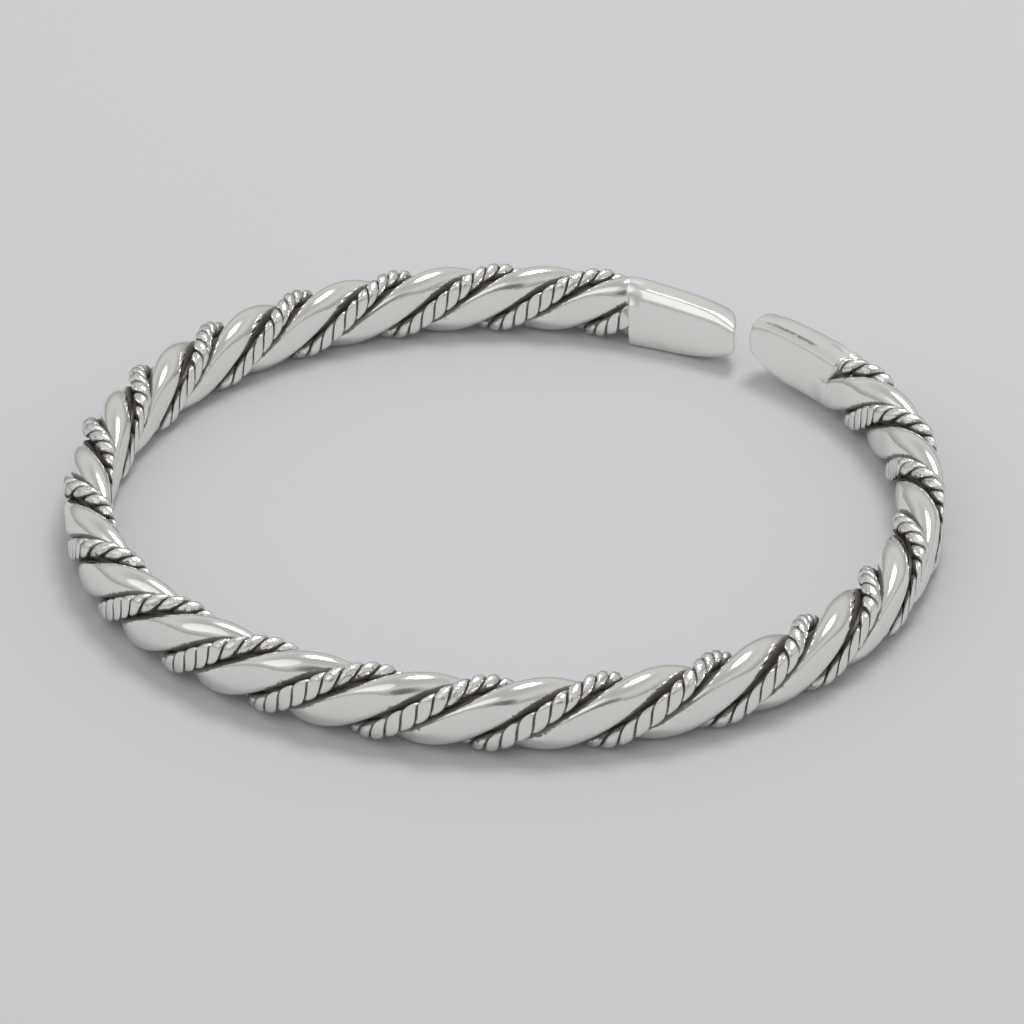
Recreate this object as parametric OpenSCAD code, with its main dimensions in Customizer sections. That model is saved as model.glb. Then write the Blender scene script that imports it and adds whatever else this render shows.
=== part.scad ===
// Braided open bangle: two smooth wires and two rope wires twisted into one bar,
// pressed flat on its inner and outer faces and closed by a terminal at each end.
// Millimetres. The ring lies flat on z = 0, with its opening on the +Y side.

/* [Ring] */
// Mean radius of the bar's centre line
ring_r = 31.2; // [28:0.1:35]
// Gap between the middles of the terminals' free ends
end_gap = 1.9; // [1.2:0.1:3.5]

/* [Twist] */
// Length of bar in which the strands turn once
lay_length = 16.95; // [16.5:0.05:20]
// Turn of the first rope wire opposite the opening, from the outer side upwards
start_turn = 58.3; // [0:0.1:180]

/* [Smooth wires] */
// Diameter of a smooth wire
wire_d = 2.64; // [2.3:0.02:2.66]
// Distance of a smooth wire's centre from the bar's centre line
wire_path = 1.37; // [1.37:0.01:1.45]

/* [Rope wires] */
// Outer diameter of a rope wire
rope_d = 1.62; // [1.4:0.02:1.64]
// Distance of a rope wire's centre from the bar's centre line
rope_path = 1.96; // [1.96:0.01:2.05]

/* [Flattening] */
// Half of the thickness to which the inner and outer faces are pressed
flat_half = 1.8; // [1.7:0.02:2.3]
// How sharply the pressed faces begin
flat_power = 6; // [4:1:8]

/* [Terminals] */
// Mean height of the terminals near their free ends
terminal_h = 4.55; // [4.2:0.05:4.7]
// Thickness of a terminal
terminal_t = 2.7; // [2.4:0.1:2.9]
// Radius of a terminal's long edges
terminal_edge = 0.55; // [0.3:0.05:0.7]
// Length of the left terminal along the ring
left_length = 9.8; // [7.5:0.05:11]
// Length of the right terminal along the ring
right_length = 9.2; // [7:0.05:10.5]

/* [Hidden] */

// The bar's centre line is this high, so that the rope wires touch z = 0
bar_mid = rope_path + rope_d / 2;
// Room left between a strand's end and the terminal that it is soldered to
seam = 0.06;

// The hand-bent ring's departure from a true circle.
// Columns: waves round the ring, height of a wave, direction of its first crest
ORDER = 0;
RISE = 1;
CREST = 2;
WAVES = [
    [2, 0.48, 32],
    [3, 0.17, 102],
    [4, 0.13, 66],
];

// How each terminal sits.
// Columns: lowest height, offset outwards from the centre line, its height beyond terminal_h,
// how much higher its top is at the twist, how far its underside's rounding reaches along it,
// and how far the outer side of its free end is behind the inner side
LOW = 0;
OFFSET = 1;
EXTRA = 2;
GROWTH = 3;
REACH = 4;
SLANT = 5;
LEFT_SEAT = [0, -0.45, -0.14, 0.98, 6, 1.7];
RIGHT_SEAT = [0.6, -0.27, 0.22, 0, 4.5, 0];
// How much a free end's underside is rounded up, and the radius of its top corner
under_rise = 2.3;
top_round = 0.5;
// How far a free end's rounding in thickness reaches along its inner and outer sides
inner_round = 0.45;
outer_round = 1.1;
// How much further out a terminal's outer side is at the twist, so that it meets the outer strand there
flare = 0.3;
// Half of the thickness that is left at a free end
least_t = 0.3;
// Half of the flat that is left between the rounded corners of a free end
blunt = 0.15;
// Distance from a free end in which its slant fades out
slant_fade = 5;

// Direction of the opening's middle, a little off +Y as the terminals lie in the photo
opening_at = 88.3;
turns_per_ring = 2 * PI * ring_r / lay_length;
degrees_per_mm = 180 / (PI * ring_r);

wire_sides = 12;
rope_sides = 8;
// Degrees of twist from one ring of a strand's mesh to the next
twist_step = 24;
// Flat steps along a terminal behind its round end
terminal_steps = 5;
// Degrees either side of a point of the ring over which its heading is taken
heading_step = 0.5;

left_joint = opening_at + (end_gap / 2 + left_length) * degrees_per_mm;
right_joint = opening_at - (end_gap / 2 + right_length) * degrees_per_mm;
strand_start = left_joint + seam * degrees_per_mm;
strand_end = right_joint + 360 - seam * degrees_per_mm;
strand_steps = ceil((strand_end - strand_start) * turns_per_ring / twist_step);

function unit(v) = v / norm(v);
function total(list) = list * [for (item = list) 1];
function middle(list) = (min(list) + max(list)) / 2;

// Pressing the bar squeezes its section towards the two flat faces, and lets nothing cross
function pressed(n) = n / pow(1 + pow(abs(n) / flat_half, flat_power), 1 / flat_power);

// The centre line of the bar, and how far the metal reaches outwards from it
function raw_ring(a) =
    (ring_r + total([for (w = WAVES) w[RISE] * cos(w[ORDER] * (a - w[CREST]))])) * [cos(a), sin(a)];
function reach(a) =
    a > left_joint || a < right_joint ? pressed(bar_mid)
    : terminal_t / 2 + (a > opening_at ? LEFT_SEAT : RIGHT_SEAT)[OFFSET];

// The centre line, moved so that the box round the whole bangle is centred on the origin
RIM = [for (a = [0:1:359]) raw_ring(a) + reach(a) * [cos(a), sin(a)]];
rim_middle = [middle([for (p = RIM) p.x]), middle([for (p = RIM) p.y])];
function on_ring(a) = raw_ring(a) - rim_middle;
function heading(a) = unit(on_ring(a + heading_step) - on_ring(a - heading_step));

// A point of the bar's cross-section at ring angle a: n outwards, z up
function place(a, n, z) =
    let (c = on_ring(a), h = heading(a))
    [c.x + n * h.y, c.y - n * h.x, z];

// A strand's outline where the cross-section at ring angle a cuts it
function strand_outline(a, phase, path, r, sides) =
    let (turn = start_turn + phase + turns_per_ring * (a - opening_at - 180),
         slant = sqrt(1 + pow(2 * PI * path / lay_length, 2)))
    [for (i = [0:sides - 1])
        let (q = i * 360 / sides,
             u = path + r * cos(q),
             v = r * slant * sin(q))
        place(a, pressed(u * cos(turn) - v * sin(turn)), bar_mid + u * sin(turn) + v * cos(turn))];

// Rounded rectangle about the origin, four points to a corner
function corner(x, y, r, from) = [for (q = [0:30:90]) [x + r * cos(from + q), y + r * sin(from + q)]];
function rounded(half_w, half_h, r) =
    let (x = half_w - r, y = half_h - r)
    concat(corner(x, y, r, 0), corner(-x, y, r, 90), corner(-x, -y, r, 180), corner(x, -y, r, 270));

function mean_point(list) = [for (k = [0:2]) total([for (p = list) p[k]])] / len(list);

// A closed solid through a list of outlines that follow one another round the ring
module sweep(outlines) {
    m = len(outlines[0]);
    last = len(outlines) - 1;
    centres = [for (o = [outlines[0], outlines[last]]) mean_point(o)];
    points = concat([for (o = outlines) for (p = o) p], centres);
    first_centre = (last + 1) * m;
    sides = [for (i = [0:last - 1]) for (j = [0:m - 1])
        let (k = (j + 1) % m)
        for (f = [[i * m + j, i * m + k, (i + 1) * m + j],
                  [i * m + k, (i + 1) * m + k, (i + 1) * m + j]]) f];
    near_end = [for (j = [0:m - 1]) [first_centre, (j + 1) % m, j]];
    far_end = [for (j = [0:m - 1]) [first_centre + 1, last * m + j, last * m + (j + 1) % m]];
    polyhedron(points, concat(sides, near_end, far_end), convexity = 10);
}

// One strand of the twist, from the left terminal round the wrist to the right one
module strand(phase, path, d, sides) {
    sweep([for (i = [0:strand_steps])
        strand_outline(strand_start + (strand_end - strand_start) * i / strand_steps,
                       phase, path, d / 2, sides)]);
}

module smooth_wire(phase) {
    color([0.86, 0.86, 0.84])
        strand(phase, wire_path, wire_d, wire_sides);
}

module rope_wire(phase) {
    color([0.66, 0.66, 0.64])
        strand(phase, rope_path, rope_d, rope_sides);
}

// What an elliptical rounding that reaches so far along a terminal takes off at x from its free end
function end_cut(x, reach, most) = (1 - sqrt(1 - pow(1 - min(x / reach, 1), 2))) * most;
function fade(t) = 1 - t * t * (3 - 2 * t);

// A terminal's outline x along the ring from its free end, which is rounded off and may be slanted.
// side is 1 for the left terminal and -1 for the right one
function terminal_outline(side, x, length, seat) =
    let (low = seat[LOW] + end_cut(x, seat[REACH], under_rise),
         height = terminal_h + seat[EXTRA] + seat[GROWTH] * x / length,
         top = seat[LOW] + height - end_cut(x, top_round, top_round),
         half_h = (top - low) / 2,
         inner = terminal_t / 2 - end_cut(x, inner_round, terminal_t / 2 - least_t),
         outer = terminal_t / 2 + flare * pow(x / length, 4) - end_cut(x, outer_round, terminal_t / 2 - least_t),
         half_t = (inner + outer) / 2,
         edge = min(terminal_edge, half_h - blunt, half_t - blunt),
         behind = seat[SLANT] * fade(min(x / slant_fade, 1)))
    [for (p = rounded(half_t, half_h, edge))
        let (n = p.x + (outer - inner) / 2,
             along = end_gap / 2 + x + behind * n / terminal_t)
        place(opening_at + side * along * degrees_per_mm, n + seat[OFFSET], (low + top) / 2 + p.y)];

module terminal(side, length, seat) {
    stations = concat([0, 0.05, 0.15, 0.3, 0.5, 0.8, 1.2, 1.7, 2.4, 3.2],
                      [for (i = [0:terminal_steps]) seat[REACH] + (length - seat[REACH]) * i / terminal_steps]);
    count = len(stations);
    color([0.9, 0.9, 0.88])
        sweep([for (i = [0:count - 1])
            terminal_outline(side, stations[side > 0 ? i : count - 1 - i], length, seat)]);
}

smooth_wire(90);  // smooth_wire_1
smooth_wire(270);  // smooth_wire_2
rope_wire(0);  // rope_wire_1
rope_wire(180);  // rope_wire_2
terminal(1, left_length, LEFT_SEAT);  // left_terminal
terminal(-1, right_length, RIGHT_SEAT);  // right_terminal
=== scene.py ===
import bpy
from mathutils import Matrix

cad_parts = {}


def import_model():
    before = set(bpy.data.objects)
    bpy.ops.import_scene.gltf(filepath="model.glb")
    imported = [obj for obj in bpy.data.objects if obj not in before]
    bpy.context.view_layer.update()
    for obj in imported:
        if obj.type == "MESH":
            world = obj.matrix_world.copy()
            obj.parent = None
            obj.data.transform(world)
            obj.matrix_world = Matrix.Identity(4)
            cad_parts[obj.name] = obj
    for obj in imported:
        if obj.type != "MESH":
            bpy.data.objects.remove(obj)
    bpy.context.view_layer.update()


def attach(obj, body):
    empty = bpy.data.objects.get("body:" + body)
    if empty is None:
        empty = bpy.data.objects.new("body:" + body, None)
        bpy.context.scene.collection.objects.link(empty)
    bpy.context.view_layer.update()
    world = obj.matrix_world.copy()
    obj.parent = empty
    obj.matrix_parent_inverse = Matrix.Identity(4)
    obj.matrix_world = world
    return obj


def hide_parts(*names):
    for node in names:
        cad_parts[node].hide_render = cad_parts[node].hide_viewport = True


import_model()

import math

import bpy
import numpy as np
from mathutils import Vector

# Sizes in this script are millimetres, and the meshes are scaled to metres as they are made
MM = 0.001

# The ring, its twist and its terminals, as in the solids
RING_R = 31.2
END_GAP = 1.9
LAY = 16.95
START_TURN = 58.3
WIRE_R = 1.32
WIRE_PATH = 1.37
WIRE_PHASES = (90, 270)
ROPE_R = 0.81
ROPE_PATH = 1.96
ROPE_PHASES = (0, 180)
FLAT_HALF = 1.8
FLAT_POWER = 6
TERMINAL_T = 2.7
LEFT_LENGTH = 9.8
RIGHT_LENGTH = 9.2
UNDER_RISE = 2.3
TOP_ROUND = 0.5
INNER_ROUND = 0.45
OUTER_ROUND = 1.1
SLANT_FADE = 5
FLARE = 0.3
FLARE_POWER = 4
OPENING_AT = 88.3
BAR_MID = ROPE_PATH + ROPE_R

# How far the ring is from a circle: waves round the ring, height of a wave, direction of its crest
WAVES = [(2, 0.48, 32), (3, 0.17, 102), (4, 0.13, 66)]

TURNS_PER_RING = 2 * math.pi * RING_R / LAY
DEG_PER_MM = 180 / (math.pi * RING_R)
LEFT_JOINT = OPENING_AT + (END_GAP / 2 + LEFT_LENGTH) * DEG_PER_MM
RIGHT_JOINT = OPENING_AT - (END_GAP / 2 + RIGHT_LENGTH) * DEG_PER_MM
BAR_LENGTH = (RIGHT_JOINT + 360 - LEFT_JOINT) / DEG_PER_MM

# How each terminal sits and what shape it has
LEFT = {
    "side": 1,  # 1 for the terminal left of the opening, -1 for the right one
    "length": LEFT_LENGTH,
    "low": 0.0,  # lowest height
    "offset": -0.45,  # outwards from the bar's centre line
    "height": 4.41,  # at the free end
    "growth": 0.98,  # how much higher the top is at the twist
    "reach": 6,  # of the underside's rounding along the terminal
    "slant": 1.7,  # how far the free end's outer side is behind its inner side
    "bow": 0.0,  # how far the free end's middle is ahead of its top and bottom
    "pillow": 0.45,  # how far the inner top edge sinks at the free end
    "bevel_t": 0.47,  # width of the bevel along the inner top edge
    "bevel_h": 0.7,  # drop of the bevel
    "bevel_end": 0.4,  # how much more the bevel drops at the free end
    "crease_shade": 0.0,  # painted shade along the bevel's upper crease
    "run_out": 1.8,  # length over which a wire runs out into the upper half
    "run_under": 0.4,  # and into the lower half
    "cover": 0.0,  # how far past the joint the block covers the upper rope
}
RIGHT = {
    "side": -1,
    "length": RIGHT_LENGTH,
    "low": 0.6,
    "offset": -0.27,
    "height": 4.77,
    "growth": 0.0,
    "reach": 4.5,
    "slant": 0.0,
    "bow": 0.25,
    "pillow": 0.2,
    "bevel_t": 0.57,
    "bevel_h": 0.37,
    "bevel_end": 0.8,
    # painted shade along the bevel's upper crease
    "crease_shade": 0.6,
    "run_out": 2.2,
    "run_under": 2.2,
    "cover": 1.1,
}

# The pressed faces have a crisper crease than on the solids, and those of the smooth wires are narrower
CRISP_POWER = 9
ROPE_POWER = 11
SQUEEZE = 0.86

# The camera, fitted to the photograph: direction, distance and focal length
CAMERA_AZIMUTH = 37.27
CAMERA_ELEVATION = 30.95
CAMERA_DISTANCE = 370.63
CAMERA_LENS = 171.15
SENSOR = 36
FRAME_PIXELS = 1024
# Pixels by which the ring's middle lies left of and above the middle of the picture
FRAMING_LEFT = 5.07
FRAMING_UP = 21.49


def smoothstep(low, high, value):
    """0 up to low, 1 from high on, and a smooth step between them."""
    t = np.clip((value - low) / (high - low), 0, 1)
    return t * t * (3 - 2 * t)


def degrees_round(count, first=0):
    """Directions evenly round a section, in radians and as a row."""
    return np.radians(first + np.arange(count) * 360 / count)[None, :]


def pressed(n, power=FLAT_POWER):
    """Squeezes a section towards the two flat faces."""
    return n / (1 + (np.abs(n) / FLAT_HALF) ** power) ** (1 / power)


def rolled(n):
    """The same with a crisper crease, as the visible wires have it."""
    return pressed(SQUEEZE * n, CRISP_POWER)


def raw_ring(a):
    """The ring's centre line in directions a, before the ring is moved to the origin."""
    radius = RING_R + sum(rise * np.cos(np.radians(order * (a - crest))) for order, rise, crest in WAVES)
    return radius[..., None] * np.stack([np.cos(np.radians(a)), np.sin(np.radians(a))], -1)


def ring_middle():
    """Middle of the box round the bare ring, which the solids have at the origin."""
    a = np.arange(0.0, 360.0)
    offset = np.where(a > OPENING_AT, LEFT["offset"], RIGHT["offset"])
    on_bar = (a > LEFT_JOINT) | (a < RIGHT_JOINT)
    reach = np.where(on_bar, pressed(np.array(BAR_MID)), TERMINAL_T / 2 + offset)
    out = np.stack([np.cos(np.radians(a)), np.sin(np.radians(a))], -1)
    rim = raw_ring(a) + reach[:, None] * out
    return (rim.min(0) + rim.max(0)) / 2


RING_MIDDLE = ring_middle()
# Degrees either side of a point of the ring over which its heading is taken
HEADING_STEP = 0.5


def place(x, n, z):
    """A point x along the bar from the left joint, n outwards from its centre line and z up."""
    a = LEFT_JOINT + x * DEG_PER_MM
    centre = raw_ring(a) - RING_MIDDLE
    along = raw_ring(a + HEADING_STEP) - raw_ring(a - HEADING_STEP)
    along = along / np.linalg.norm(along, axis=-1, keepdims=True)
    return np.stack([centre[..., 0] + n * along[..., 1], centre[..., 1] - n * along[..., 0], z], -1)


def bar_turn(x, phase):
    """Turn of a strand round the bar, in radians."""
    a = LEFT_JOINT + x * DEG_PER_MM
    return np.radians(START_TURN + phase + TURNS_PER_RING * (a - OPENING_AT - 180))


def untwist(turn, u, v):
    """From u outwards and v across in the turning section to n outwards and z up from the bar's middle."""
    return u * np.cos(turn) - v * np.sin(turn), u * np.sin(turn) + v * np.cos(turn)


def slant(path):
    """How much longer than the bar a strand is whose centre runs at this distance from the bar's."""
    return math.sqrt(1 + (2 * math.pi * path / LAY) ** 2)


# Each point of a piece carries five values for the silver: the first is how dark it is, with oxide in the
# hollows and with painted shade on the core and along a terminal's bevel crease; along and around are its
# place on the strand, fold is how scored it is, and face how much it belongs to a flat side


def tube(name, rows, values):
    """A closed tube through rows of points, with a value for each point under each name in values."""
    count, columns = rows.shape[:2]
    ends = np.stack([rows[0].mean(0), rows[-1].mean(0)])
    points = np.concatenate([rows.reshape(-1, 3), ends]) * MM
    i, j = np.meshgrid(np.arange(count - 1), np.arange(columns), indexing="ij")
    k = (j + 1) % columns
    quads = np.stack([i * columns + j, i * columns + k, (i + 1) * columns + k, (i + 1) * columns + j], -1)
    ring = np.arange(columns)
    after = (ring + 1) % columns
    first = count * columns
    last = (count - 1) * columns
    near = np.stack([np.full(columns, first), after, ring], -1)
    far = np.stack([np.full(columns, first + 1), last + ring, last + after], -1)
    mesh = bpy.data.meshes.new(name)
    mesh.from_pydata(points.tolist(), [], quads.reshape(-1, 4).tolist() + near.tolist() + far.tolist())
    mesh.polygons.foreach_set("use_smooth", np.ones(len(mesh.polygons), bool))
    for key, value in values.items():
        padded = np.concatenate([value.reshape(-1), [value[0].mean(), value[-1].mean()]])
        mesh.attributes.new(key, "FLOAT", "POINT").data.foreach_set("value", padded.astype(np.float32))
    mesh.validate()
    piece = bpy.data.objects.new(name, mesh)
    bpy.context.scene.collection.objects.link(piece)
    return piece


# How much thinner a smooth wire gets at a joint, from how far before it and to how far past it
SINK = 0.1
SINK_START = 0.3
SINK_END = 0.25


def sunk(x):
    """How much smaller a smooth wire's radius is at x, near its two ends."""
    return SINK * smoothstep(-SINK_START, SINK_END, np.maximum(-x, x - BAR_LENGTH))


WIRE_COLUMNS = 64
WIRE_STEP = 0.2
# How far the smooth wires bulge towards each other, so that no light shows between them, and how narrowly
WIRES_MEET = 0.1
MEET_POWER = 8
# Depths below a wire's crest between which the oxide sets in
WIRE_OXIDE = (0.4, 0.95)
# The scored strip along the crease of a pressed face: how strong, how far over the crease, and how wide
STRIP_SCORED = 0.5
STRIP_AT = -0.1
STRIP_WIDE = 0.2
# How far over the crease the pressed face sets in
WIRE_FACE = (-0.1, 0.2)


def smooth_wire(name, phase):
    x = np.arange(-SINK_END, BAR_LENGTH + SINK_END, WIRE_STEP)[:, None]
    q = degrees_round(WIRE_COLUMNS, 180)
    r = WIRE_R - sunk(x)
    u = WIRE_PATH + r * np.cos(q) - WIRES_MEET * np.clip(-np.cos(q), 0, 1) ** MEET_POWER
    v = r * slant(WIRE_PATH) * np.sin(q)
    n, z = untwist(bar_turn(x, phase), u, v)
    depth = WIRE_PATH + WIRE_R - np.hypot(u, v)
    over = SQUEEZE * np.abs(n) - FLAT_HALF
    values = {
        "oxide_and_shade": smoothstep(*WIRE_OXIDE, depth),
        "along": x + 0 * q,
        "around": r * q,
        "fold": STRIP_SCORED * np.exp(-((over - STRIP_AT) / STRIP_WIDE) ** 2),
        "face": smoothstep(*WIRE_FACE, over),
    }
    return tube(name, place(x + 0 * q, rolled(n), BAR_MID + z), values)


# The fine twist of a rope wire: distance in which its two plies turn once, how square a ply's section is,
# its least reach from the rope's middle, the points round it and the degrees of twist between two rows
PLY_LAY = 2.856
PLY_FULL = 2.8
PLY_LEAST = 0.12
PLY_POINTS = 14
PLY_STEP = 12
# Thickness of a rope wire along the top and underside, as a share of that on the pressed faces
THIN_ROPE = 0.84
# Distance from the left joint at which a ply's crest is
FIRST_BEAD = 0.05
# How far a rope runs into the terminals
ROPE_RUN_IN = 0.7
# How much deeper a rope lies at the right joint, and from how far before it
ROPE_SINK = 0.3
ROPE_SINK_FROM = 1.6
# Share by which a rope is narrower where a terminal hides it, and the distance over which it gets so
ROPE_NARROW = 0.14
NARROW_REACH = 0.5
# Shares of the half thickness between which a rope's pressed face sets in
ROPE_FACE = (0.7, 1.0)
# Depth of the notches between a pressed face's beads, as a share of how much further than NOTCH_FROM a
# point lies below its ply's crest, up to NOTCH_MOST
NOTCH = 0.35
NOTCH_FROM = 0.1
NOTCH_MOST = 0.5
# Depths below a ply's crest, and below the rope's outside, between which the oxide sets in
PLY_OXIDE = (0.12, 0.3)
ROPE_OXIDE = (0.55, 0.95)
# How strongly the round beads and the pressed faces are scored
BEADS_SCORED = 0.8
FACES_SCORED = 0.1


def ply_outline():
    """Points round both plies of a rope wire, and how far each point lies below the plies' crests."""
    quarter = np.radians(90)
    half_points = PLY_POINTS / 2
    turn = quarter * np.sin(quarter * np.arange(-half_points, half_points) / half_points)
    reach = (1 - (np.abs(turn) / quarter) ** PLY_FULL) ** (1 / PLY_FULL)
    reach = PLY_LEAST + (ROPE_R - PLY_LEAST) * reach
    p = reach * np.cos(turn)
    q = reach * np.sin(turn)
    low = ROPE_R - reach
    return np.concatenate([p, -p]), np.concatenate([q, -q]), np.concatenate([low, low])


def rope_wire(name, phase):
    steps = PLY_STEP / 360 * PLY_LAY / slant(ROPE_PATH)
    x = np.arange(-ROPE_RUN_IN, BAR_LENGTH + ROPE_RUN_IN, steps)[:, None]
    turn = bar_turn(x, phase)
    twist = 2 * math.pi * (x - FIRST_BEAD) * slant(ROPE_PATH) / PLY_LAY
    fullness = THIN_ROPE + (1 - THIN_ROPE) * np.cos(turn) ** 2
    lower = ROPE_SINK * smoothstep(BAR_LENGTH - ROPE_SINK_FROM, BAR_LENGTH, x)
    p, q, low = ply_outline()
    a = fullness * (p * np.cos(twist) - q * np.sin(twist))
    b = fullness * (p * np.sin(twist) + q * np.cos(twist))
    u = BAR_MID - ROPE_R * fullness + a - lower
    v = b / slant(ROPE_PATH)
    forward = -2 * math.pi * ROPE_PATH / LAY * b / slant(ROPE_PATH)
    n, z = untwist(turn, u, v)
    face = smoothstep(*ROPE_FACE, np.abs(n) / FLAT_HALF)
    notch = NOTCH * np.clip(low - NOTCH_FROM, 0, NOTCH_MOST) * face * np.sign(n)
    hidden = smoothstep(0, NARROW_REACH, np.maximum(-x, x - BAR_LENGTH + RIGHT["cover"]))
    flat_n = (pressed(n, ROPE_POWER) - notch) * (1 - ROPE_NARROW * hidden)
    depth = BAR_MID - np.hypot(u, v)
    values = {
        "oxide_and_shade": np.maximum(smoothstep(*PLY_OXIDE, low), smoothstep(*ROPE_OXIDE, depth)),
        "along": x + 0 * b,
        "around": b,
        "fold": BEADS_SCORED - (BEADS_SCORED - FACES_SCORED) * face,
        "face": face + 0 * b,
    }
    return tube(name, place(x + forward, flat_n, BAR_MID + z), values)


CORE_COLUMNS = 24
CORE_STEP = 0.5
# Half sizes of the core's section, towards the ropes and towards the smooth wires
CORE_LONG = 1.45
CORE_WIDE = 0.5


def painted_shade_core(name):
    """A flat twisted core between the four strands, so that no light shows through the small gaps; its dark
    colour is painted shade.
    """
    x = np.arange(-SINK_END, BAR_LENGTH + SINK_END, CORE_STEP)[:, None]
    q = degrees_round(CORE_COLUMNS)
    n, z = untwist(bar_turn(x, 0), CORE_LONG * np.cos(q), CORE_WIDE * slant(ROPE_PATH) * np.sin(q))
    values = {
        # Full darkness: painted shade inside the twist
        "oxide_and_shade": 1 + 0 * n,
        "along": x + 0 * n,
        "around": q + 0 * n,
        "fold": 0 * n,
        "face": 0 * n,
    }
    return tube(name, place(x + 0 * q, rolled(n), BAR_MID + z), values)


def wire_reach(theta):
    """Distance from the bar's middle to a smooth wire's outside in direction theta, or 0 past its sides."""
    across = WIRE_R * slant(WIRE_PATH)
    a = (np.cos(theta) / WIRE_R) ** 2 + (np.sin(theta) / across) ** 2
    b = -2 * WIRE_PATH * np.cos(theta) / WIRE_R ** 2
    c = (WIRE_PATH / WIRE_R) ** 2 - 1
    inside = b * b - 4 * a * c
    reach = (-b + np.sqrt(np.maximum(inside, 0))) / (2 * a)
    return np.where((inside > 0) & (np.cos(theta) > 0), reach, 0)


def end_cut(x, reach):
    """Share that an elliptical rounding takes off at x from a free end."""
    return 1 - np.sqrt(1 - (1 - np.minimum(x / reach, 1)) ** 2)


def end_sink(x, reach):
    """1 at a free end and a hollow curve down to 0 at reach from it."""
    return np.clip(1 - x / reach, 0, 1) ** 2


# How crisp the creases along a terminal are in its middle and at its free end, and where that changes
MIDDLE_SHARPNESS = 26
END_SHARPNESS = 11
BLUNT_TO = 1.25
SHARP_FROM = 3.75
# A mean height of the terminals, the cut at their plain long edges, how wide it is at the outer top edge,
# and how far from the free end the bevel drops more
MEAN_H = 4.6
EDGE_CUT = 0.28
OUTER_CUT = 0.5
BEVEL_END_REACH = 1.4


def block_section(psi, stations, seat):
    """A terminal's section with its bevel, in shares of its half thickness and half height."""
    blunt = np.clip((SHARP_FROM - stations) / (SHARP_FROM - BLUNT_TO), 0, 1)
    sharpness = MIDDLE_SHARPNESS - (MIDDLE_SHARPNESS - END_SHARPNESS) * blunt
    total = np.abs(np.cos(psi)) ** sharpness + np.abs(np.sin(psi)) ** sharpness
    bevel_h = seat["bevel_h"] + seat["bevel_end"] * end_sink(stations, BEVEL_END_REACH)
    # Each edge: outer side or inner, top or bottom, its cut across and its cut down
    edges = [
        (1, 1, OUTER_CUT, EDGE_CUT),
        (1, -1, EDGE_CUT, EDGE_CUT),
        (-1, -1, EDGE_CUT, EDGE_CUT),
        (-1, 1, seat["bevel_t"], bevel_h),
    ]
    for side, top, across, drop in edges:
        share_t = across / (TERMINAL_T / 2)
        share_h = drop / (MEAN_H / 2)
        facing = np.maximum(np.cos(psi) * side * share_h + np.sin(psi) * top * share_t, 0)
        total = total + (facing / (share_t + share_h - share_t * share_h)) ** sharpness
    reach = total ** (-1 / sharpness)
    return reach * np.cos(psi), reach * np.sin(psi)


# Height by which a terminal's top is crowned, and how much lower it is towards the free end, over what reach
CROWN = 0.05
END_DROP = 0.2
END_DROP_REACH = 2.5
# How far along a terminal its inner top edge sinks, how narrowly, and how far along it the end's bow reaches
PILLOW_REACH = 3.0
PILLOW_POWER = 6
BOW_REACH = 2
# The painted shade along a bevel's upper crease: where it is full, how it fades beside it, and at its two
# ends
CREASE_SHADE_FULL = 0.06
CREASE_SHADE_FADE = 0.2
CREASE_SHADE_FROM_END = (0.4, 1.4)
CREASE_SHADE_TO_JOINT = (1.2, 2.6)
# Shares of the half thickness between which a terminal's flat sides set in
BLOCK_FACE = (0.9, 0.98)
TERMINAL_COLUMNS = 360


def block_form(stations, seat):
    """A terminal's own form: how far its points lie outwards, up and behind their row's place, and how much
    each belongs to a flat side and to the painted shade along the bevel's upper crease."""
    share_t, share_h = block_section(degrees_round(TERMINAL_COLUMNS), stations, seat)
    along_block = np.minimum(stations / seat["length"], 1)
    inner = TERMINAL_T / 2 * (1 - end_cut(stations, INNER_ROUND))
    outer = TERMINAL_T / 2 * (1 - end_cut(stations, OUTER_ROUND)) + FLARE * along_block ** FLARE_POWER
    across = (outer - inner) / 2 + (outer + inner) / 2 * share_t
    low = seat["low"] + UNDER_RISE * end_cut(stations, seat["reach"])
    end_drop = TOP_ROUND * end_cut(stations, TOP_ROUND) + END_DROP * end_sink(stations, END_DROP_REACH)
    top = seat["low"] + seat["height"] + seat["growth"] * along_block - end_drop
    upper = (1 + share_h) / 2
    crown = CROWN * (0.5 - (across / TERMINAL_T * 2) ** 2) * upper
    pillow = seat["pillow"] * end_sink(stations, PILLOW_REACH)
    sunk_edge = pillow * (0.5 - across / TERMINAL_T) * np.clip(upper, 0, 1) ** PILLOW_POWER
    z = (low + top) / 2 + (top - low) / 2 * share_h + crown - sunk_edge
    behind = seat["slant"] * across / TERMINAL_T * (1 - smoothstep(0, SLANT_FADE, stations))
    ahead = seat["bow"] * (1 - share_h ** 2) * (1 - smoothstep(0, BOW_REACH, stations))
    face = smoothstep(*BLOCK_FACE, np.abs(share_t))
    # The last value is painted shade along the bevel's upper crease
    from_crease = np.hypot(across + TERMINAL_T / 2 - seat["bevel_t"], (1 - share_h) * MEAN_H / 2)
    beside_crease = np.exp(-(np.maximum(from_crease - CREASE_SHADE_FULL, 0) / CREASE_SHADE_FADE) ** 2)
    to_joint = seat["length"] - stations
    between_ends = smoothstep(*CREASE_SHADE_FROM_END, stations) * smoothstep(*CREASE_SHADE_TO_JOINT, to_joint)
    return seat["offset"] + across, z, behind - ahead, face, seat["crease_shade"] * beside_crease * between_ends


# Degrees between the rows of a free end's rounding, and the steps behind it and at the joint
END_DEGREES = 5
BLOCK_STEP = 0.25
JOINT_STEP = 0.07
# How far a terminal runs on inside the strands
TERMINAL_OVERLAP = 1.7
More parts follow.
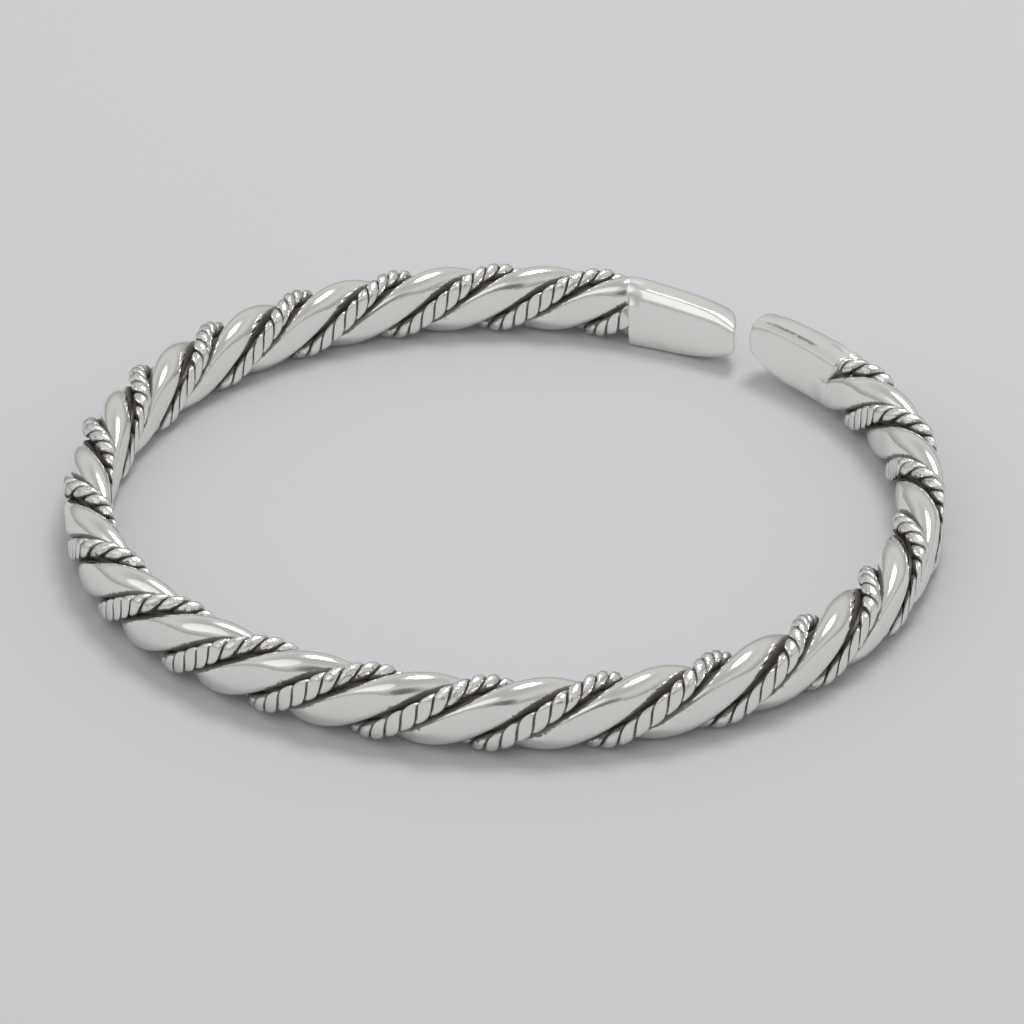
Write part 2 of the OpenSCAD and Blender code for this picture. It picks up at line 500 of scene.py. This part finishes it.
# Reach of the bar's core between the smooth wires, the reaches over which it turns into a wire, and those
# over which the groove beside the wire stops being dark
CORE_R = 1.75
ON_WIRE = (CORE_R - 0.1, CORE_R + 0.6)
IN_GROOVE = (CORE_R - 0.1, CORE_R + 0.2)
# How far a terminal's surface is below the strands' at the joint, and how much deeper it is 1 mm past it
UNDER_STRAND = 0.016
HIDDEN_SINK = 0.2
# Share by which the hidden part of a terminal is narrower, and how far past the joint it gets so
HIDDEN_NARROW = 0.08
HIDDEN = (0.1, 0.6)
# Length of the wall in which a terminal ends beside a rope
WALL = 0.3
# Half of the angle about a rope in which a terminal covers it, and the sines of the direction's height over
# which that sets in
COVER_HALF = 48
COVER_UPPER = (0, 0.5)
# The wall is dark beyond the first of these angles from a rope's middle, and clean within the second
DARK_WALL = (30, 15)
# Sines of the direction's height over which a wire's run-out changes from the lower half's to the upper's
UPPER_HALF = (-0.3, 0.3)


def cosine(degrees):
    return math.cos(math.radians(degrees))


def terminal_stations(seat):
    """How far each row of a terminal is from its free end."""
    run_out_from = seat["length"] - seat["run_out"]
    return np.concatenate([
        OUTER_ROUND * (1 - np.cos(np.radians(np.arange(0, 90, END_DEGREES)))),
        np.arange(OUTER_ROUND, run_out_from, BLOCK_STEP),
        np.arange(run_out_from, seat["length"] + TERMINAL_OVERLAP, JOINT_STEP),
    ])[:, None]


def terminal(name, seat):
    """A terminal from its rounded free end to the joint, where it takes the form of the strands."""
    stations = terminal_stations(seat)
    block_n, block_z, behind, face, crease_shade = block_form(stations, seat)
    before_joint = seat["length"] - stations
    past_joint = -before_joint
    x = past_joint if seat["side"] > 0 else BAR_LENGTH + before_joint
    on_bar = np.clip(x, 0, BAR_LENGTH)
    psi = np.arctan2(block_z - BAR_MID, block_n)

    reach = np.maximum(*[wire_reach(psi - bar_turn(on_bar, phase)) for phase in WIRE_PHASES])
    strand = np.maximum(reach, CORE_R) - UNDER_STRAND - HIDDEN_SINK * np.clip(past_joint, 0, 1)
    strand_n = (1 - HIDDEN_NARROW * smoothstep(*HIDDEN, past_joint)) * rolled(strand * np.cos(psi))
    strand_z = BAR_MID + strand * np.sin(psi)

    toward_rope = np.maximum(*[np.cos(psi - bar_turn(on_bar, phase)) for phase in ROPE_PHASES])
    covered = smoothstep(cosine(COVER_HALF), 1, toward_rope) * smoothstep(*COVER_UPPER, np.sin(psi))
    wall = smoothstep(0, WALL, before_joint + seat["cover"] * covered)
    upper = smoothstep(*UPPER_HALF, np.sin(psi))
    run_out = seat["run_under"] + (seat["run_out"] - seat["run_under"]) * upper
    on_wire = smoothstep(*ON_WIRE, reach)
    blend = on_wire * smoothstep(0, 1, before_joint / run_out) + (1 - on_wire) * wall
    n = strand_n * (1 - blend) + block_n * blend
    z = strand_z * (1 - blend) + block_z * blend
    rows = place(x + seat["side"] * behind, n, z)

    beside_rope = 1 - smoothstep(*map(cosine, DARK_WALL), toward_rope)
    values = {
        # Oxide in the groove beside the wires and at the wall by a rope, plus painted shade along the
        # bevel's crease
        "oxide_and_shade": (1 - wall) * (1 - smoothstep(*IN_GROOVE, reach)) * beside_rope + crease_shade,
        "along": x + 0 * psi,
        "around": 2 * psi,
        "fold": 0 * psi,
        "face": face + 0 * psi,
    }
    if seat["side"] > 0:
        rows = rows[::-1]
        values = {key: value[::-1] for key, value in values.items()}
    return tube(name, rows, values)


class Graph:
    """The nodes of a material or a world, each made and linked by one short call."""

    def __init__(self, tree):
        self.nodes = tree.nodes
        self.links = tree.links

    def feed(self, socket, value):
        """Links an output to a socket, or sets the socket to a constant."""
        if isinstance(value, bpy.types.NodeSocket):
            self.links.new(value, socket)
        else:
            socket.default_value = value

    def node(self, kind, inputs, **settings):
        """A new node with its settings and with its inputs, by name or number."""
        node = self.nodes.new(kind)
        for key, value in settings.items():
            setattr(node, key, value)
        for key, value in inputs.items():
            self.feed(node.inputs[key], value)
        return node

    def combine(self, operation, a, b):
        return self.node("ShaderNodeMath", {0: a, 1: b}, operation=operation).outputs[0]

    def add(self, a, b):
        return self.combine("ADD", a, b)

    def multiply(self, a, b):
        return self.combine("MULTIPLY", a, b)

    def attribute(self, name):
        return self.node("ShaderNodeAttribute", {}, attribute_name=name).outputs["Fac"]

    def noise(self, vector, scale, detail, roughness):
        inputs = {"Vector": vector, "Scale": scale, "Detail": detail, "Roughness": roughness}
        return self.node("ShaderNodeTexNoise", inputs).outputs["Fac"]

    def ramp(self, value, start, end, low, high):
        """low up to start, high from end on, and a smooth step between them."""
        inputs = {"Value": value, "From Min": start, "From Max": end, "To Min": low, "To Max": high}
        return self.node("ShaderNodeMapRange", inputs, interpolation_type="SMOOTHSTEP").outputs["Result"]

    def mix(self, factor, a, b):
        inputs = {"Factor": factor, "A": (*a, 1), "B": (*b, 1)}
        return self.node("ShaderNodeMix", inputs, data_type="RGBA").outputs["Result"]

    def bump(self, height, distance, strength, under=None):
        """Relief, on top of the relief under it if there is one."""
        inputs = {"Height": height, "Distance": distance, "Strength": strength}
        if under is not None:
            inputs["Normal"] = under
        return self.node("ShaderNodeBump", inputs).outputs["Normal"]


def new_material(name):
    """A material, its graph and its shader's inputs."""
    material = bpy.data.materials.new(name)
    material.use_nodes = True
    graph = Graph(material.node_tree)
    return material, graph, graph.nodes["Principled BSDF"].inputs


# Colours of oxide and painted shade, of the strands' clean silver and of the terminals'
OXIDE_AND_SHADE_COLOUR = (0.27, 0.25, 0.235)
STRAND_SILVER = (0.92, 0.915, 0.88)
BLOCK_SILVER = (0.96, 0.955, 0.92)
# How the noise of the scratches is stretched along and across a strand
SCRATCH_GRAIN = (0.6, 9, 1)
# Scale, detail and roughness of the noise of scratches, of dents and of ragged oxide
SCRATCH_NOISE = (1.0, 4, 0.6)
CLOUD_NOISE = (400, 2, 0.4)
RAGGED_NOISE = (2600, 4, 0.65)
# Values of the noise between which scratches, clouds and cuts set in
SCRATCHED = (0.58, 0.72)
CLOUDED = (0.3, 0.7)
CUT = (0.5, 0.58)
# How dark a cut is, how much of the darkness of oxide and painted shade isn't ragged, and where metal turns
# to that dark colour
CUT_DARK = 0.65
EVEN_DARK = 0.5
DARKENED = (0.35, 0.65)
# What scratches, clouds, flat faces and the dark parts of oxide and painted shade add to the roughness, and
# how metallic those dark parts are
SCRATCH_DULL = 0.06
CLOUD_DULL = 0.07
FACE_DULL = 0.12
OXIDE_AND_SHADE_DULL = 0.3
OXIDE_AND_SHADE_METALLIC = 0.4
# Depth of a scratch, and how strong the relief of dents and scratches is
SCRATCH_DEPTH = 0.004
DENT_STRENGTH = 0.5
SCRATCH_STRENGTH = 0.3


def silver(name, bright, polish, dent, scored):
    """Silver of a colour and a least roughness, with dents and scored parts as deep as given."""
    material, graph, shader = new_material(name)
    on_metal = graph.node("ShaderNodeTexCoord", {}).outputs["Object"]
    strand = {"X": graph.attribute("along"), "Y": graph.attribute("around")}
    on_strand = graph.node("ShaderNodeCombineXYZ", strand).outputs[0]
    stretched = graph.node("ShaderNodeMapping", {"Vector": on_strand, "Scale": SCRATCH_GRAIN}).outputs[0]
    scratch = graph.noise(stretched, *SCRATCH_NOISE)
    cloud = graph.noise(on_metal, *CLOUD_NOISE)
    ragged = graph.noise(on_metal, *RAGGED_NOISE)
    fold = graph.attribute("fold")

    marks = graph.add(graph.multiply(scratch, 0.5), graph.multiply(ragged, 0.5))
    cuts = graph.multiply(fold, graph.ramp(marks, *CUT, 0, CUT_DARK))
    # The dark mix is oxide in the hollows and painted shade on the core and along the terminals' bevel
    # crease, with cuts on scored parts
    uneven = graph.multiply(graph.attribute("oxide_and_shade"), graph.add(ragged, EVEN_DARK))
    oxide_and_shade_mix = graph.ramp(graph.add(uneven, cuts), *DARKENED, 0, 1)
    graph.feed(shader["Base Color"], graph.mix(oxide_and_shade_mix, bright, OXIDE_AND_SHADE_COLOUR))
    graph.feed(shader["Metallic"], graph.ramp(oxide_and_shade_mix, 0, 1, 1.0, OXIDE_AND_SHADE_METALLIC))

    worn = graph.ramp(scratch, *SCRATCHED, 0, SCRATCH_DULL)
    clouded = graph.ramp(cloud, *CLOUDED, polish, polish + CLOUD_DULL)
    flat = graph.ramp(graph.attribute("face"), 0, 1, 0, FACE_DULL)
    dull = graph.ramp(oxide_and_shade_mix, 0, 1, 0, OXIDE_AND_SHADE_DULL)
    graph.feed(shader["Roughness"], graph.add(graph.add(graph.add(worn, clouded), flat), dull))

    scratched = graph.ramp(scratch, *SCRATCHED, 0, 1)
    rough_part = graph.combine("MAXIMUM", oxide_and_shade_mix, fold)
    dents = graph.bump(cloud, dent * MM, DENT_STRENGTH)
    scratches = graph.bump(scratched, SCRATCH_DEPTH * MM, SCRATCH_STRENGTH, under=dents)
    graph.feed(shader["Normal"], graph.bump(ragged, scored * MM, rough_part, under=scratches))
    return material


def finish_piece(piece, material, node):
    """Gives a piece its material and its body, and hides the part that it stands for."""
    piece.data.materials.append(material)
    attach(piece, "root")
    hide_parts(node)


def camera():
    azimuth = math.radians(CAMERA_AZIMUTH)
    elevation = math.radians(CAMERA_ELEVATION)
    back = Vector((math.sin(azimuth) * math.cos(elevation), -math.cos(azimuth) * math.cos(elevation),
                   math.sin(elevation)))
    aim = Vector((-RING_MIDDLE[0], -RING_MIDDLE[1], BAR_MID)) * MM
    data = bpy.data.cameras.new("camera")
    data.lens = CAMERA_LENS
    data.sensor_width = SENSOR
    data.shift_x = FRAMING_LEFT / FRAME_PIXELS
    data.shift_y = -FRAMING_UP / FRAME_PIXELS
    data.clip_start = 0.01
    data.clip_end = 20
    eye = bpy.data.objects.new("camera", data)
    bpy.context.scene.collection.objects.link(eye)
    eye.location = aim + back * CAMERA_DISTANCE * MM
    eye.rotation_mode = "QUATERNION"
    eye.rotation_quaternion = (-back).to_track_quat("-Z", "Y")
    bpy.context.scene.camera = eye


def from_viewer(forward, right, up):
    """A place or direction given forwards and to the right on the floor as the viewer looks, and up."""
    azimuth = math.radians(CAMERA_AZIMUTH)
    ahead = Vector((-math.sin(azimuth), math.cos(azimuth), 0))
    aside = Vector((math.cos(azimuth), math.sin(azimuth), 0))
    return ahead * forward + aside * right + Vector((0, 0, up))


# The lights in metres and watts, and the direction of the viewer
KEY_AT = from_viewer(0.2, 0.11, 0.59)
KEY_SIZE = 0.24
KEY_WATTS = 1.25
FILL_AT = from_viewer(-0.3, -0.35, 0.5)
FILL_SIZE = 0.6
FILL_WATTS = 0.32
VIEWER_AT = from_viewer(-1, 0.1, 0.35)


def softbox(name, location, size, watts):
    """A round light that faces the bracelet, in metres."""
    data = bpy.data.lights.new(name, "AREA")
    data.shape = "DISK"
    data.size = size
    data.energy = watts
    lamp = bpy.data.objects.new(name, data)
    bpy.context.scene.collection.objects.link(lamp)
    lamp.location = location
    lamp.rotation_mode = "QUATERNION"
    lamp.rotation_quaternion = (-lamp.location).to_track_quat("-Z", "Y")


# Half of the floor's side in metres, and its look
FLOOR_HALF = 2.0
FLOOR_COLOUR = (0.7, 0.703, 0.715, 1)
FLOOR_ROUGHNESS = 0.8
FLOOR_SPECULAR = 0.1


def floor():
    corners = [(-FLOOR_HALF, -FLOOR_HALF, 0), (FLOOR_HALF, -FLOOR_HALF, 0),
               (FLOOR_HALF, FLOOR_HALF, 0), (-FLOOR_HALF, FLOOR_HALF, 0)]
    mesh = bpy.data.meshes.new("floor")
    mesh.from_pydata(corners, [], [(0, 1, 2, 3)])
    ground = bpy.data.objects.new("floor", mesh)
    bpy.context.scene.collection.objects.link(ground)
    material, _, shader = new_material("floor")
    shader["Base Color"].default_value = FLOOR_COLOUR
    shader["Roughness"].default_value = FLOOR_ROUGHNESS
    shader["Specular IOR Level"].default_value = FLOOR_SPECULAR
    mesh.materials.append(material)


# The walls' brightness and the share of it that is left overhead: the sines of the heights between which
# each changes, and its values there
WALLS = (-0.1, 0.5, 0.3, 0.6)
CEILING = (0.55, 1.0, 1.0, 0.75)
# The dark patch where the viewer stands and the glow about the key light: strength, and the degrees from
# their middle within which they are full and beyond which they are gone
VIEWER_DARK = 0.3
VIEWER_SPREAD = (6, 24)
GLOW = 0.25
GLOW_SPREAD = (8, 20)


def patch(graph, direction, aim, spread, inside, outside):
    """A soft round patch of the room about a direction, from inside in its middle to outside beyond it."""
    dot = graph.node("ShaderNodeVectorMath", {0: direction, 1: aim.normalized()}, operation="DOT_PRODUCT")
    full, gone = spread
    return graph.ramp(dot.outputs["Value"], cosine(gone), cosine(full), outside, inside)


def world():
    """A soft grey room with a glow about the key light and a dark patch where the viewer stands."""
    room = bpy.data.worlds.new("room")
    bpy.context.scene.world = room
    room.use_nodes = True
    graph = Graph(room.node_tree)
    direction = graph.node("ShaderNodeTexCoord", {}).outputs["Generated"]
    height = graph.node("ShaderNodeSeparateXYZ", {0: direction}).outputs["Z"]
    sky = graph.multiply(graph.ramp(height, *WALLS), graph.ramp(height, *CEILING))
    dark = patch(graph, direction, VIEWER_AT, VIEWER_SPREAD, VIEWER_DARK, 1.0)
    glow = patch(graph, direction, KEY_AT, GLOW_SPREAD, GLOW, 0.0)
    background = graph.nodes["Background"].inputs
    graph.feed(background["Color"], graph.add(graph.multiply(sky, dark), glow))
    background["Strength"].default_value = 1.0


camera()
floor()
world()
softbox("key_light", KEY_AT, KEY_SIZE, KEY_WATTS)
softbox("fill_light", FILL_AT, FILL_SIZE, FILL_WATTS)
bpy.context.scene.view_settings.view_transform = "Standard"

wire_silver = silver("wire_silver", STRAND_SILVER, polish=0.09, dent=0.04, scored=0.05)
rope_silver = silver("rope_silver", STRAND_SILVER, polish=0.12, dent=0.05, scored=0.1)
block_silver = silver("block_silver", BLOCK_SILVER, polish=0.17, dent=0.01, scored=0.03)

for number, phase in enumerate(WIRE_PHASES, 1):
    finish_piece(smooth_wire(f"wire_{number}", phase), wire_silver, f"smooth_wire_{number}")
for number, phase in enumerate(ROPE_PHASES, 1):
    finish_piece(rope_wire(f"rope_{number}", phase), rope_silver, f"rope_wire_{number}")
# The core is a dark sheet of painted shade between the strands
finish_piece(painted_shade_core("shade_core"), rope_silver, "rope_wire_1")
finish_piece(terminal("left_block", LEFT), block_silver, "left_terminal")
finish_piece(terminal("right_block", RIGHT), block_silver, "right_terminal")
